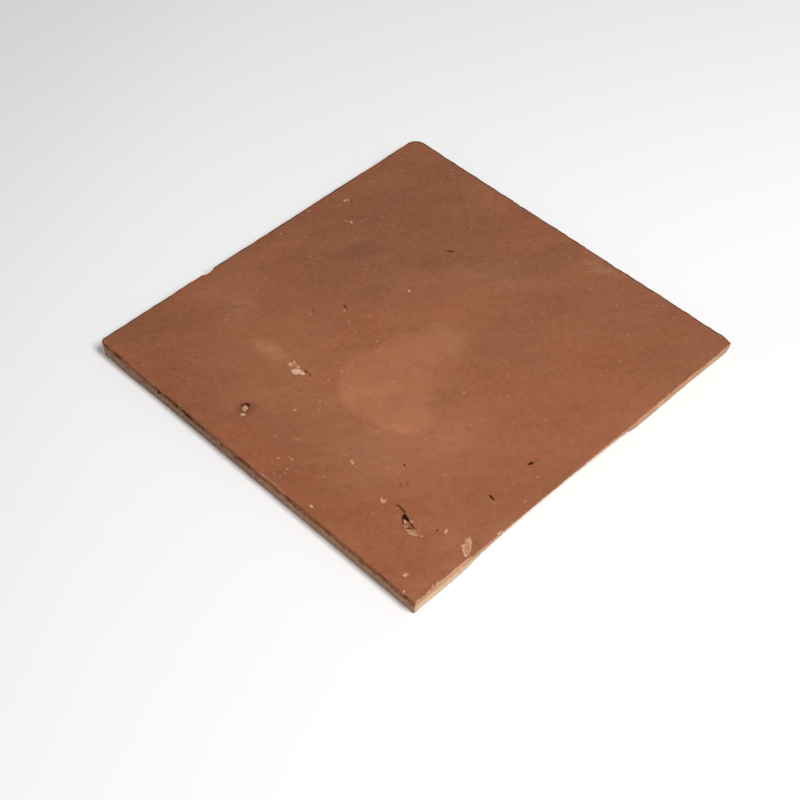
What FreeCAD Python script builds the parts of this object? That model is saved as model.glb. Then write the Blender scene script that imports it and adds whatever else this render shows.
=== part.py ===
import FreeCAD, Part
import math
import os

# Terracotta floor tile, moulded by hand and cut to size, fired as one piece.
# Millimetres. The origin is the middle of the bedding face, +Z points up out of the wear face.
# With the wear face up, front is -Y, back is +Y, left is -X and right is +X.

# Overall size
side_length = 300.0
thickness = 13.0

# Corners in plan
front_left_radius = 1.8
front_right_radius = 1.2
back_right_radius = 9.0
back_left_radius = 8.5

# The front right corner is also knocked off on a slant, which runs out towards the foot
knock_along_front = 1.9
knock_along_right = 7.6
knock_foot_along_front = 0.5
knock_foot_along_right = 6.2

# How far the foot of each side stands in from the wear face's edge
front_undercut = 2.4
right_undercut = 0.9
back_undercut = 0.8
left_undercut = 0.7

# Waves of the hand-cut sides, inwards from a straight line
wave_depth = 0.4
front_wave_pitch = 98.0
right_wave_pitch = 74.0
back_wave_pitch = 98.0
left_wave_pitch = 142.0
points_per_wave = 6

# The worn arris is rounded, and the foot is rubbed off flat
wear_arris_radius = 0.8
foot_chamfer = 0.8
most_of_corner = 0.8

# Flakes lost from the foot of the front side. A small standoff makes a flake with blunt ends
spalls = {
    "long_spall": dict(from_left=114.0, length=168.0, depth=3.0, height=10.0, standoff=7.0),
    "blunt_spall": dict(from_left=164.0, length=64.0, depth=2.6, height=8.5, standoff=0.8),
}

# Hollows in the wear face. Each is placed from the left and front sides, and turned from +X
hollows = {
    "stone_pit": dict(from_left=29.7, from_front=186.2, length=7.4, width=5.8, depth=1.9, turn=45.0),
    "lime_scar": dict(from_left=77.0, from_front=187.5, length=17.0, width=8.0, depth=0.9, turn=96.0),
    "crack": dict(from_left=43.7, from_front=55.5, length=11.0, width=1.0, depth=1.0, turn=78.0),
    "crack_mouth": dict(from_left=39.2, from_front=47.4, length=9.0, width=4.4, depth=1.7, turn=62.0),
    "crack_flake": dict(from_left=36.0, from_front=38.8, length=12.0, width=4.2, depth=0.8, turn=110.0),
    "front_flake": dict(from_left=50.2, from_front=7.7, length=10.8, width=5.2, depth=0.7, turn=44.0),
    "flake_lobe": dict(from_left=55.5, from_front=9.5, length=6.4, width=5.4, depth=0.6, turn=44.0),
    "straw_slot": dict(from_left=89.6, from_front=23.3, length=5.8, width=1.7, depth=1.2, turn=81.0),
    "grit_drag": dict(from_left=127.2, from_front=24.5, length=6.8, width=2.6, depth=0.9, turn=168.0),
    "nick": dict(from_left=229.0, from_front=195.1, length=7.0, width=1.6, depth=0.9, turn=125.0),
    "pebble_hole": dict(from_left=119.0, from_front=219.8, length=5.6, width=4.4, depth=1.0, turn=30.0),
    "pebble_hole_two": dict(from_left=138.0, from_front=206.6, length=5.6, width=3.4, depth=1.1, turn=45.0),
}

# Chips out of the wear face's arris. Each is placed along its side, from the left or from the front
front_chips = {
    "long_chip": dict(at=35.0, length=22.0, reach=1.8, drop=2.4),
    "middle_chip": dict(at=73.5, length=7.0, reach=1.5, drop=1.6),
    "right_chip": dict(at=232.5, length=6.0, reach=1.4, drop=1.6),
}
left_chips = {
    "corner_chip": dict(at=10.0, length=5.0, reach=1.6, drop=1.7),
    "middle_chip": dict(at=127.0, length=24.0, reach=1.4, drop=1.4),
    "back_chip": dict(at=240.0, length=28.0, reach=1.4, drop=1.4),
}
back_chips = {
    "notch": dict(at=95.0, length=11.0, reach=2.2, drop=2.6),
    "corner_notch": dict(at=17.0, length=6.0, reach=1.7, drop=2.0),
}

same_height = 1e-6
up = FreeCAD.Vector(0, 0, 1)
left_edge = -side_length / 2
right_edge = side_length / 2
front_edge = -side_length / 2
back_edge = side_length / 2


def wavy_side(start, end, pitch):
    # One hand-cut side, travelled anticlockwise: straight at both ends, drawn inwards in even waves between
    run = end - start
    inward = up.cross(run).normalize()
    waves = max(1, round(run.Length / pitch))
    steps = waves * points_per_wave
    points = []
    for step in range(steps + 1):
        share = step / steps
        pull = wave_depth * (1 - math.cos(2 * math.pi * waves * share)) / 2
        points.append(start + run * share + inward * pull)
    curve = Part.BSplineCurve()
    curve.interpolate(Points=points, InitialTangent=run, FinalTangent=run)
    return curve.toShape()


def corner(start, end, centre):
    # A rounded corner, tangent to the two sides that it joins
    radius = (start - centre).Length
    middle = (start + end) * 0.5 - centre
    return Part.Arc(start, centre + middle.normalize() * radius, end).toShape()


def outline(drop):
    # The tile's outline at a depth below the wear face: 0 is the wear face, 1 is the bedding face
    height = thickness * (1 - drop)
    left = left_edge + left_undercut * drop
    right = right_edge - right_undercut * drop
    front = front_edge + front_undercut * drop
    back = back_edge - back_undercut * drop

    def at(x, y):
        return FreeCAD.Vector(x, y, height)

    front_start = at(left + front_left_radius, front)
    front_end = at(right - front_right_radius, front)
    right_start = at(right, front + front_right_radius)
    right_end = at(right, back - back_right_radius)
    back_start = at(right - back_right_radius, back)
    back_end = at(left + back_left_radius, back)
    left_start = at(left, back - back_left_radius)
    left_end = at(left, front + front_left_radius)
    edges = [
        wavy_side(front_start, front_end, front_wave_pitch),
        corner(front_end, right_start, at(front_end.x, right_start.y)),
        wavy_side(right_start, right_end, right_wave_pitch),
        corner(right_end, back_start, at(back_start.x, right_end.y)),
        wavy_side(back_start, back_end, back_wave_pitch),
        corner(back_end, left_start, at(back_end.x, left_start.y)),
        wavy_side(left_start, left_end, left_wave_pitch),
        corner(left_end, front_start, at(front_start.x, left_end.y)),
    ]
    return Part.Wire(edges)


def rim(shape, height):
    # The edges that lie all round at one height
    def level(edge):
        return all(abs(vertex.Point.z - height) < same_height for vertex in edge.Vertexes)

    return [edge for edge in shape.Edges if level(edge)]


def clay_body():
    # Undercut walls between the two outlines, with the wear arris rounded and the foot rubbed off
    slab = Part.makeLoft([outline(1), outline(0)], True, True)
    tightest = min(front_left_radius, front_right_radius, back_right_radius, back_left_radius)
    limit = tightest * most_of_corner
    slab = slab.makeFillet(min(wear_arris_radius, limit), rim(slab, thickness))
    return slab.makeChamfer(min(foot_chamfer, limit), rim(slab, 0))


def ellipsoid(centre, along, across, deep, turn=0.0):
    # A solid with three half sizes, turned about +Z, to scoop clay away with
    stretch = FreeCAD.Matrix()
    stretch.scale(along, across, deep)
    solid = Part.makeSphere(1.0).transformGeometry(stretch)
    solid.rotate(FreeCAD.Vector(), up, turn)
    solid.translate(centre)
    return solid


def hollow(from_left, from_front, length, width, depth, turn):
    centre = FreeCAD.Vector(left_edge + from_left, front_edge + from_front, thickness)
    return ellipsoid(centre, length / 2, width / 2, depth, turn)


def front_chip(at, length, reach, drop):
    return ellipsoid(FreeCAD.Vector(left_edge + at, front_edge, thickness), length / 2, reach, drop)


def back_chip(at, length, reach, drop):
    return ellipsoid(FreeCAD.Vector(left_edge + at, back_edge, thickness), length / 2, reach, drop)


def left_chip(at, length, reach, drop):
    return ellipsoid(FreeCAD.Vector(left_edge, front_edge + at, thickness), reach, length / 2, drop)


def spall(from_left, length, depth, height, standoff):
    # A flake: its length and depth are as at the foot, and it runs out up the wall at its height
    across = depth + standoff
    along = length / 2 / math.sqrt(1 - (standoff / across) ** 2)
    foot = front_edge + front_undercut
    lean = front_undercut * height / thickness
    deep = height / math.sqrt(1 - ((standoff - lean) / across) ** 2)
    centre = FreeCAD.Vector(left_edge + from_left, foot - standoff, 0)
    return ellipsoid(centre, along, across, deep)


def knocked_corner():
    # A slanted wedge off the front right corner, smaller at the foot
    def section(height, along_front, along_right):
        front = FreeCAD.Vector(right_edge - along_front, front_edge, height)
        point = FreeCAD.Vector(right_edge, front_edge, height)
        right = FreeCAD.Vector(right_edge, front_edge + along_right, height)
        outer = (front + right) * 0.5
        outer = point + (point - outer)
        return Part.makePolygon([front, outer, right, front])

    foot = section(0, knock_foot_along_front, knock_foot_along_right)
    arris = section(thickness, knock_along_front, knock_along_right)
    return Part.makeLoft([foot, arris], True, True)


def floor_tile():
    lost = [knocked_corner()]
    lost += [spall(**sizes) for sizes in spalls.values()]
    lost += [hollow(**sizes) for sizes in hollows.values()]
    lost += [front_chip(**sizes) for sizes in front_chips.values()]
    lost += [left_chip(**sizes) for sizes in left_chips.values()]
    lost += [back_chip(**sizes) for sizes in back_chips.values()]
    return clay_body().cut(lost)


tile = floor_tile()
os.makedirs("parts", exist_ok=True)
tile.exportStep("parts/floor_tile.step")
box = tile.optimalBoundingBox()
print("floor_tile: valid", tile.isValid(), "solids", len(tile.Solids), "faces", len(tile.Faces))
print("size %.2f x %.2f x %.2f mm, volume %.1f cm3" % (box.XLength, box.YLength, box.ZLength, tile.Volume / 1000))
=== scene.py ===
import math
import bmesh
import bpy
import numpy as np
from mathutils import Matrix, Vector, kdtree, noise
from types import SimpleNamespace


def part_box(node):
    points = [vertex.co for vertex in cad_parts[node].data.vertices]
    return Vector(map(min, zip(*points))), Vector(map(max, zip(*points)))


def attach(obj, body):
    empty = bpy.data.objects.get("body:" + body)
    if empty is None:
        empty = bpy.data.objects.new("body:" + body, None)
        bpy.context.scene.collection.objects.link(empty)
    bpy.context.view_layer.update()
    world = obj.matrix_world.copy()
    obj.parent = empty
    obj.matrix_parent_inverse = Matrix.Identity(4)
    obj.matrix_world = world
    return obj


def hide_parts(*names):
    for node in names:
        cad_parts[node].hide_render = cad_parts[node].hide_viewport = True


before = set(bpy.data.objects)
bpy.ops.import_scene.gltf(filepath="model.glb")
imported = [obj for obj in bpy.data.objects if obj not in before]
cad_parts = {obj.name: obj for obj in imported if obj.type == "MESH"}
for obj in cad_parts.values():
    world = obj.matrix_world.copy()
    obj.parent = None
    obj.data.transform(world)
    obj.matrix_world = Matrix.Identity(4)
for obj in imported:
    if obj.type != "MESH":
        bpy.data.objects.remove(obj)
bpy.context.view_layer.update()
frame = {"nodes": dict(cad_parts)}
print("frame loaded:", ", ".join(frame["nodes"]))

mm = 0.001
tileLow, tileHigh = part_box("floor_tile")
half = min(tileHigh.x, tileHigh.y, -tileLow.x, -tileLow.y) / mm  # half a side of the tile
top = tileHigh.z / mm  # level of the wear face


# Everything about the tile itself, in millimetres from its middle. Front is -Y, left is -X.
tile = {
    "cells": 100,  # squares along the wear face before it is made finer
    "bands": (10, 3.5),  # widths along the edge that are made finer, one after the other
    "arris": 0.6,  # radius of the worn top edge
    "arrisRings": 4,
    "wallRings": 16,
    "ringCrowding": 1.4,  # above 1, the rings of the wall lie closer together under the edge
    "foot": 0.5,  # rubbed edge underneath
    "underCells": 60,
    "underInset": 9,  # the squares underneath end this far from the sides
    "markMargins": (3, 1.8, 0.9),  # the mesh is made finer this far round every mark
    "gapMargin": 0.5,  # then round the gaps, and in the corners
    "cornerZone": 6,
    # Half lengths of each worn corner, along X and along Y
    "corners": {
        "frontLeft": (1.8, 1.8),
        "frontRight": (1.2, 1.2),
        "backRight": (9, 9),
        "backLeft": (4.6, 4.6),
    },
    # Slant off the front right corner, along the front and along the right side. It is gone at the foot
    "knock": (1.9, 7.6),
    # How far the foot stands in from the top, at the two ends of each side
    "undercut": {"front": (1.4, 3.3), "right": (0.2, 0.9), "back": (0.8, 0.8), "left": (0.3, 0)},
    # How far each side is drawn in along its whole run, but for its far end
    "setBack": {"front": 0, "right": 0, "back": 0, "left": 0.5},
    "waves": {"front": 3, "right": 4, "back": 3, "left": 2},
    "waveDepth": 0.15,
    "ragged": {"front": 0.3, "right": 0.8, "back": 0.6, "left": 0.35},
    "setBackEnd": (90, 130),  # where along a side its set back ends, and where it gets less ragged
    "calmEnd": (110, 140),
    "sideReach": 12,  # the waves and flakes of a side end this far into the tile
    "sideFade": 10,  # and the waves fade out over this
    "swell": 0.3,  # slow rise and fall of the wear face
    # Grain size, seed and strength of the ripples in each shape
    "raggedGrains": ((9, 2, 0.65), (3.1, 7, 0.35)),
    "swellGrains": ((60, 1, 0.6), (24, 2, 0.3), (8, 3, 0.12)),
    "tornGrains": ((6, 4, 0.6), (2.2, 5, 0.6)),
    "grooveGrains": ((9, 6, 1.1), (3.5, 7, 0.7)),
    "tongueGrains": ((5, 31, 0.5), (1.7, 32, 0.5)),
    "wallRough": {"front": 0.4, "right": 0.8, "back": 0.8, "left": 0.8},
    "groove": {"front": 0, "right": 0.7, "back": 0.7, "left": 0.8},  # torn hollow under the edge
    # Where things start and end: shares of the wall, places along a side, or distances from the rim
    "grooveBand": ((0.05, 0.16), (0.34, 0.6)),
    "knockZone": ((125, 140), (-140, -120)),
    "shadedRun": ((30, 50), (105, 120)),
    "shadedEnd": (-140, -120),
    "farEnd": (100, 118),
    "farEndSkin": (0.22, 0.34),
    "nearHalf": ((-125, -110), (-55, -40)),
    "farRim": (100, 130),
    "farRimWidth": (0.3, 1.9),
    "frontFoot": ((0.84, 0.95), (0, 40)),
    "wornEnd": (-108, -98),
    "frontPale": (-70, 50),
    "leftPale": (-40, 30),

    # Flakes lost from the foot of the sides: side, place along it, length, depth, height, standoff
    "spalls": [
        ("front", -29, 160, 4, 10, 7),
        ("front", 21, 70, 3.3, 8.5, 0.8),
        ("left", -62, 46, 0.9, 8, 2),
        ("left", 148, 60, 1.3, 12, 4),
    ],

    # Hollows in the wear face: x, y, length, width, depth, turn from +X, bare clay, pale rim, dark (painted
    # shade down in the hollow)
    "hollows": {
        "stoneHalo": (-122.5, 37, 14, 11, 0.35, 60, 0, 0, 0),
        "stonePit": (-120.3, 36.2, 7.4, 5.8, 1.4, 45, 0, 0, 0),
        "limeScar": (-73, 37.5, 17, 8, 0.8, 96, 0.3, 0, 0),
        "crackMouth": (-112.2, -103.8, 7.6, 4.4, 1, 60, 0.36, 0, 0),
        "crackFlake": (-113.8, -111.3, 10, 4.2, 0.7, -70, 0.42, 0, 0),
        "frontFlake": (-98.4, -142.3, 14, 4.8, 0.5, 39, 0.46, 0.95, 0),
        "strawSlot": (-60.4, -126.7, 5.8, 1.7, 1.2, -99, 0, 0, 0.9),
        "gritDrag": (-23.4, -125.4, 4.2, 2.2, 1, -14, 0, 0, 0.95),
        "dragTail": (-19.6, -125.8, 6, 3, 0.5, -10, 0, 0, 0.3),
        "nick": (79, 45.1, 7, 1.6, 0.9, -55, 0, 0, 0.85),
        "pebbleHole": (-31.6, 69.6, 5.6, 4.4, 0.9, 30, 0.3, 0, 0),
        "pebbleHoleTwo": (-12, 56.6, 5.6, 3.4, 1, 45, 0, 0, 0.26),
    },

    # Narrow gaps with painted shade down in them: x, y, length, width, depth, turn from +X, dark
    "gaps": {
        "pitGapLeft": (-119.2, 39.4, 3.2, 1.6, 1.6, -9, 0.66),
        "pitGapTop": (-117.1, 38.8, 4, 1.8, 2, -41, 0.82),
        "pitGapRight": (-116.5, 36.3, 4.2, 2.2, 2, -98, 0.74),
        "pitGapFoot": (-122.4, 34.1, 2.4, 1.6, 1.4, 30, 0.55),
        "limeDark": (-70.3, 32, 6, 1.7, 1, -95, 0.42),
        "limeTail": (-70.9, 27.7, 4, 2, 0.9, -129, 0.44),
        "crackTip": (-105.7, -90.4, 4.6, 1.9, 0.9, -76, 0.6),
        "crackRun": (-105.9, -94.6, 8.8, 1.7, 0.9, -98, 0.62),
        "wedgeLeft": (-109, -98.6, 5.4, 1.4, 1.6, -148, 1),
        "wedgeRight": (-108.3, -100.6, 8.4, 1.7, 1.8, -112, 1),
        "wedgeMiddle": (-108.9, -99.6, 4, 1.8, 2, -124, 1),
        "wedgeFoot": (-109.9, -101.2, 3.4, 2.7, 2.2, -124, 1),
        "mouthLeft": (-112.2, -101.3, 5.8, 1.1, 1, -130, 0.62),
        "mouthInner": (-112.4, -103.9, 2.8, 1, 0.6, -34, 0.48),
        "mouthRight": (-110.2, -106.8, 10.2, 1.5, 1, -104, 0.62),
        "mouthFoot": (-113.8, -106.6, 8.6, 1.7, 1.2, -54, 0.7),
        "pebbleGap": (-28.7, 70, 3.4, 1.6, 0.9, -80, 0.34),
        "pebbleGapTwo": (-10.7, 57.9, 2, 1.7, 1.3, 40, 0.7),
    },

    # Torn pits in the walls by side: place along it, depth below the top, length, height, depth, dark
    # (painted shade in the pit)
    "wallPits": {
        "left": [
            (130, 2.4, 6, 2.6, 0.8, 0.6), (121, 2.4, 6, 2.4, 0.7, 0.5), (106, 4.2, 7, 4.4, 0.9, 0.55),
            (89, 3.8, 8, 5.4, 1.2, 0.75), (82, 3.2, 4, 2.4, 0.7, 0.5), (71, 3.6, 13, 4.4, 1.2, 0.7),
            (60, 4.8, 20, 6, 1.3, 0.95), (50, 3.4, 5, 5, 1, 0.6), (27, 6.6, 4.6, 3, 1.1, 0.95),
            (12, 6.4, 10, 2.8, 1.1, 0.9), (-34, 7.4, 3.6, 4.4, 0.8, 0.5), (-46, 2.6, 4, 3.4, 0.8, 0.6),
            (-53, 2.4, 3.6, 2.4, 0.6, 0.45), (-64, 3, 6, 4.4, 1, 0.8), (-101, 7.4, 3, 2.8, 0.8, 0.7),
            (-141, 3, 4.4, 3.4, 1.2, 0.95),
        ],
        "front": [
            (-116, 2, 18, 2, 0.9, 1), (57, 5.4, 3.6, 6, 1.3, 1),
        ],
        "right": [
            (-96, 4, 9, 4.4, 1, 0.6), (-20, 5.4, 7, 3.4, 1.1, 0.7), (74, 3.6, 11, 4, 1, 0.6),
        ],
        "back": [
            (-104, 4.4, 8, 4.4, 1, 0.6), (8, 6, 9, 3, 1.1, 0.7), (92, 3.4, 7, 4, 0.9, 0.6),
        ],
    },

    # Chips out of the wear face's edge: side, place along it, length, reach inwards, drop, bare clay
    "chips": {
        "longChip": ("front", -116, 20, 1.1, 1.3, 0.95),
        "flakeChip": ("front", -76.5, 7, 1.4, 1.6, 1),
        "rightChip": ("front", 82.5, 4.6, 1, 1.2, 0.7),
        "cornerChip": ("left", -140, 5, 1.5, 1.6, 0.9),
        "dotChip": ("left", -61.5, 3, 0.9, 0.9, 0.7),
        "shadeChip": ("left", -24, 36, 2, 1.5, 0.5),
        "backLeftChip": ("left", 90, 36, 1.6, 1.3, 0.48),
        "wornChip": ("left", 57, 34, 1.3, 1, 0.44),
        "notch": ("back", -55, 11, 2.2, 2.6, 0.7),
        "cornerNotch": ("back", -128, 4, 1, 1.2, 0.5),
    },

    # Small marks in the skin by kind: x, y, length, width, turn, strength
    "marks": {
        # dark specks of soot, and painted shade at small pits and along flake edges
        "soot": [
            (-80.4, -70.9, 3.2, 2.4, 20, 0.7), (-102.4, -121.2, 2.4, 1.9, 40, 0.6),
            (20.4, 22.6, 3.2, 2.6, 0, 0.42), (11.5, -44.9, 2.4, 1.8, 60, 0.5),
            (124.1, 11.1, 2.4, 2, 0, 0.5), (49.6, 64.3, 2.4, 1.8, 30, 0.5),
            (130.5, 55.6, 2.4, 1.8, 0, 0.45), (-23.8, 129.5, 2.4, 1.8, 0, 0.45),
            (7.9, 123.7, 2.4, 1.8, 0, 0.45), (-50, -133.6, 1.8, 1.5, 0, 0.4),
            (-95, -137.7, 2, 1.4, 45, 0.46), (-102.1, -145, 1.8, 1.3, 45, 0.46),
            (-92.6, -142.8, 4.6, 1.5, -112, 0.42), (95, -43, 2.2, 1.7, 0, 0.42),
            (-89.8, -83.2, 5, 3.2, 45, 0.42), (-93.1, -80.6, 5, 3.2, 45, 0.42),
            (-92.6, -83.2, 4.6, 2, -45, 0.36), (65.6, 132.4, 3.6, 1.6, -113, 0.62),
            (-130.2, -146.9, 4, 1.2, -145, 0.36), (32.6, 35.8, 4.6, 3, 45, 0.3),
            (-67.4, -90.7, 6, 1.6, -111, 0.34), (-9.1, -49.2, 2.6, 2, 0, 0.4),
        ],
        "bare": [
            (-82.4, -72.4, 2.4, 1.2, -45, 0.42), (-91.2, -81.7, 2.6, 1.8, -45, 0.4),
            (-93.8, -140.9, 5.8, 1.8, -113, 0.8), (-97, -141.6, 3.2, 1, -86, 0.6),
            (-113.5, -105.7, 3.8, 2.4, -45, 0.52), (-114.9, -112.8, 9, 1.4, -68, 0.85),
            (-112, -117.6, 2.4, 1.4, -67, 0.75), (-108.5, -105.7, 3.8, 3, -45, 0.5),
            (-109.9, -113.3, 5.1, 1, -134, 0.42), (-98.9, -125.3, 4.6, 2.2, 21, 0.75),
            (-32.8, 68, 4.6, 2.4, -20, 0.58), (-13.6, 54.8, 3.8, 2.6, 45, 0.66),
            (5.5, 110.5, 4, 2.6, 20, 0.38), (-71.1, 38, 4.4, 3.2, -60, 0.55),
            (63.3, 135.6, 5.4, 2.2, 6, 0.62), (64.9, 133.8, 4.6, 1.8, -111, 0.56),
            (48.7, 119.3, 3.8, 1.8, -94, 0.5), (50.4, 115.7, 4.6, 2.4, -107, 0.62),
            (59.6, 144.7, 3.8, 1.4, -80, 0.4), (-109.9, -81.1, 5, 2.4, -115, 0.72),
            (-109.2, -82.8, 4.6, 2, -166, 0.6), (-129.6, -148.2, 5.4, 1.3, -152, 0.58),
            (-133, -148, 3, 1.3, -155, 0.58), (-143.8, -54.2, 3.6, 2.6, 80, 0.72),
            (-147.9, -138.6, 1.8, 1.5, 0, 0.95), (-139, -131.5, 4.6, 3.4, -45, 0.8),
            (30.6, 36.6, 3.8, 2.8, 60, 0.62), (29.8, 39.2, 5.4, 1.6, 107, 0.4),
            (-19.3, 44.6, 2.2, 1.9, 0, 0.6), (-22.9, 34.4, 2, 1.7, 0, 0.5),
            (-32.2, 28.9, 2, 1.7, 0, 0.46), (-46.3, 40.9, 2, 1.8, 0, 0.4),
            (-18.5, 17.9, 2.2, 1.9, 0, 0.52), (-52, -129.3, 2.2, 1.9, 0, 0.48),
            (-48, -143.4, 2.6, 2.2, 0, 0.46), (-28.8, -135.7, 2.4, 2, 0, 0.46),
            (6.5, 142, 3.2, 2.2, 0, 0.46), (37.3, 145.8, 3.6, 1.8, 0, 0.46),
            (125.1, 140, 2.6, 2.2, 0, 0.46), (142, 104.3, 2.8, 2, 90, 0.46),
            (-30.8, 115.8, 2.3, 1.8, 0, 0.48), (-42.7, 111.6, 2.3, 1.8, 0, 0.48),
            (-53.6, 14.9, 2.3, 1.9, 0, 0.58), (-50.6, 12.9, 2.6, 1.5, 40, 0.46),
            (-65.5, 14.9, 2.2, 1.8, 0, 0.52), (-81.4, 6, 2.2, 1.8, 0, 0.52),
            (-98.3, 11, 3.4, 2, -45, 0.58), (-86.8, 0.6, 2.2, 1.8, 0, 0.46),
            (-62.2, -43.1, 2.3, 1.9, 0, 0.52), (-101.9, -46.2, 6, 3.2, 80, 0.52),
            (-103, -50.6, 3.6, 1.8, 80, 0.42), (-73.6, 62.9, 8, 2, -76, 0.4),
            (-68.5, -93.8, 3.6, 2, -30, 0.44), (-10.2, -54.8, 3.4, 1.8, -45, 0.44),
            (-132.7, -10.9, 3, 2.2, -45, 0.5), (-127.4, -17.9, 2.8, 2.4, 0, 0.52),
            (-137.4, -22.6, 2.2, 1.8, 0, 0.46), (-140.6, -15.9, 2.2, 1.8, 0, 0.44),
            (-134.6, -21.7, 3.6, 1.8, -45, 0.46), (-142.3, -18.2, 2.2, 1.8, 0, 0.44),
            (-141.6, -23.4, 2, 1.8, 0, 0.42), (-140.7, 1.4, 2, 1.6, 0, 0.4),
            (-139.3, 31.7, 2.4, 2, 0, 0.46), (-148.3, -22.4, 25, 1.6, -86, 0.52),
            (61.6, -91.4, 2.3, 1.9, 0, 0.46), (35.7, 6, 2.2, 1.8, 0, 0.46),
            (-50.6, 134, 2.3, 1.8, 0, 0.46), (-73, 43.4, 4.8, 3.6, 45, 0.66),
            (-70.3, 42.9, 4.6, 2.6, 45, 0.52), (-71.6, 41, 9, 6, -70, 0.36),
        ],
        "lime": [
            (-75, 35.8, 8.4, 7.4, -45, 1), (-73.3, 32.7, 6.2, 4, -74, 1),
        ],
    },

    # Pale patch, lighter and yellower: x, y, half lengths, turn, strength
    "patch": [
        (-42, -14, 31, 32, 0, 1),
        (-14, -7, 34, 20, -18, 0.9),
        (-50, -34, 20, 25, 0, 1),
        (-74, 62, 6, 14, 8, 0.5),
        (136, 66, 10, 18, 0, 0.25),
    ],
    "patchTone": (0.64, 0.28),  # lighter, yellower

    # Tones of the firing and wear, and painted shade round the stone pit: x, y, half lengths, turn,
    # softness of the border, lighter, redder, dusty
    "tones": [
        (-62, -62, 46, 24, -25, 0.9, 0.18, -0.25, 0.06), (12, -104, 80, 30, 0, 0.9, 0, 0.28, 0),
        (-117, -105, 36, 48, 0, 0.9, 0.02, 0.38, 0), (-138, 0, 14, 90, 0, 0.9, 0, 0.3, 0),
        (70, 92, 112, 60, -22, 0.9, -0.42, -0.46, 0), (-127, 117, 34, 42, 0, 0.9, -0.25, 0, 0),
        (115, -60, 52, 85, 0, 0.9, -0.24, -0.2, 0), (84, 0, 10, 28, 38, 0.9, 0.05, -0.3, 0.08),
        (141, -42, 4, 14, 30, 0.8, 0, 0, 0.3), (-64, 106, 13, 9, 40, 0.9, 0.05, -0.2, 0.16),
        (-75.5, 64, 5, 11, 8, 0.8, 0.3, -0.2, 0.14), (12, 51, 12, 9, 0, 0.9, -0.28, -0.4, 0),
        (34, 88, 10, 10, 0, 0.9, -0.22, -0.3, 0), (130, -12, 13, 12, 0, 0.9, -0.18, -0.2, 0),
        (18, -17, 8, 14, -30, 0.8, 0.12, -0.1, 0.12), (-75, -20, 24, 120, 0, 0.9, 0.1, 0, 0),
        (-136, 10, 16, 120, 0, 0.9, -0.14, 0, 0), (132, 130, 30, 30, 0, 0.9, -0.12, 0, 0),
        (132, -130, 30, 30, 0, 0.9, -0.16, 0, 0), (0, 147, 150, 6, 0, 0.9, -0.16, 0, 0),
        (-95.8, -145.6, 5, 3, 10, 0.9, -0.4, -0.5, 0), (-90, -55, 16, 22, -20, 0.9, 0.06, -0.2, 0.04),
        (-38, -78, 22, 10, 0, 0.9, 0.06, -0.35, 0.06), (-90, -146, 40, 4, 0, 0.9, 0.05, -0.25, 0.1),
        (98, -95, 70, 60, 0, 0.9, -0.05, -0.16, 0), (-141, -140, 9, 8, 0, 0.9, 0.1, 0, 0.1),
        (-104, -133, 9, 7, 0, 0.9, 0.12, 0, 0.14), (-130, -92, 22, 40, 0, 0.9, -0.1, 0.1, 0),
        # the second row on the next line is painted shade in the shallow hollow round the stone pit
        (-125, 90, 40, 60, 0, 0.9, -0.06, 0, 0), (-118.4, 35.5, 6.5, 5.5, 45, 0.7, -0.75, -0.6, 0),
        (115, 110, 55, 55, 0, 0.9, -0.08, 0, 0),
    ],
}

sideAxes = {
    "front": (Vector((1, 0, 0)), Vector((0, 1, 0))),  # along the side, and into the tile
    "right": (Vector((0, 1, 0)), Vector((-1, 0, 0))),
    "back": (Vector((1, 0, 0)), Vector((0, -1, 0))),
    "left": (Vector((0, 1, 0)), Vector((1, 0, 0))),
}


def placesOf(bm):
    return np.array([vert.co for vert in bm.verts])


def ripple(places, size, seed):
    # Smooth noise of one grain size, about -1 to 1 at each place
    shift = Vector((seed * 17.3, seed * 5.1, seed * 9.7))
    return np.array([noise.noise(Vector(place) / size + shift) for place in places])


def ripples(places, grains, shift=0):
    return sum(strength * ripple(places, size, seed + shift) for size, seed, strength in grains)


def wandering(places, size, seed):
    # Three ripples, as a small step along X, Y and Z at each place
    return np.stack([ripple(places, size, seed + step) for step in range(3)], axis=1)


def ease(start, end, values):
    share = np.clip((values - start) / (end - start), 0, 1)
    return share * share * (3 - 2 * share)


def within(rise, fall, values):
    # 1 between two borders and 0 outside them
    return ease(*rise, values) * (1 - ease(*fall, values))


def ovalDistance(places, x, y, length, width, turn):
    # 0 at the middle of a turned oval on the wear face, 1 on its outline
    angle = math.radians(turn)
    dx = places[:, 0] - x
    dy = places[:, 1] - y
    along = dx * math.cos(angle) + dy * math.sin(angle)
    across = dy * math.cos(angle) - dx * math.sin(angle)
    return np.hypot(along / (length / 2), across / (width / 2))


def scoopReach(places, centre, radii, turn, heading):
    # How far a place inside an ellipsoid goes along the heading to come out of its far side
    angle = math.radians(turn)
    cosine, sine = math.cos(angle), math.sin(angle)
    spin = np.array([[cosine, sine, 0], [-sine, cosine, 0], [0, 0, 1]])
    inside = (places - centre) @ spin.T / radii
    way = spin @ heading / radii
    a = way @ way
    b = inside @ way
    c = (inside * inside).sum(axis=1) - 1
    return np.where(c < 0, (np.sqrt(np.maximum(b * b - a * c, 0)) - b) / a, 0)


def makeFiner(bm, wanted):
    # Halve the edges whose middles are in the wanted zone
    middles = np.array([(edge.verts[0].co + edge.verts[1].co) / 2 for edge in bm.edges])
    picked = wanted(middles)
    edges = [edge for edge, chosen in zip(bm.edges, picked) if chosen]
    bmesh.ops.subdivide_edges(bm, edges=edges, cuts=1, use_grid_fill=True)


def nearEdge(width):
    return lambda places: np.maximum(abs(places[:, 0]), abs(places[:, 1])) > half - width


def nearCorner(places):
    return np.minimum(abs(places[:, 0]), abs(places[:, 1])) > half - tile["cornerZone"]


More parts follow.
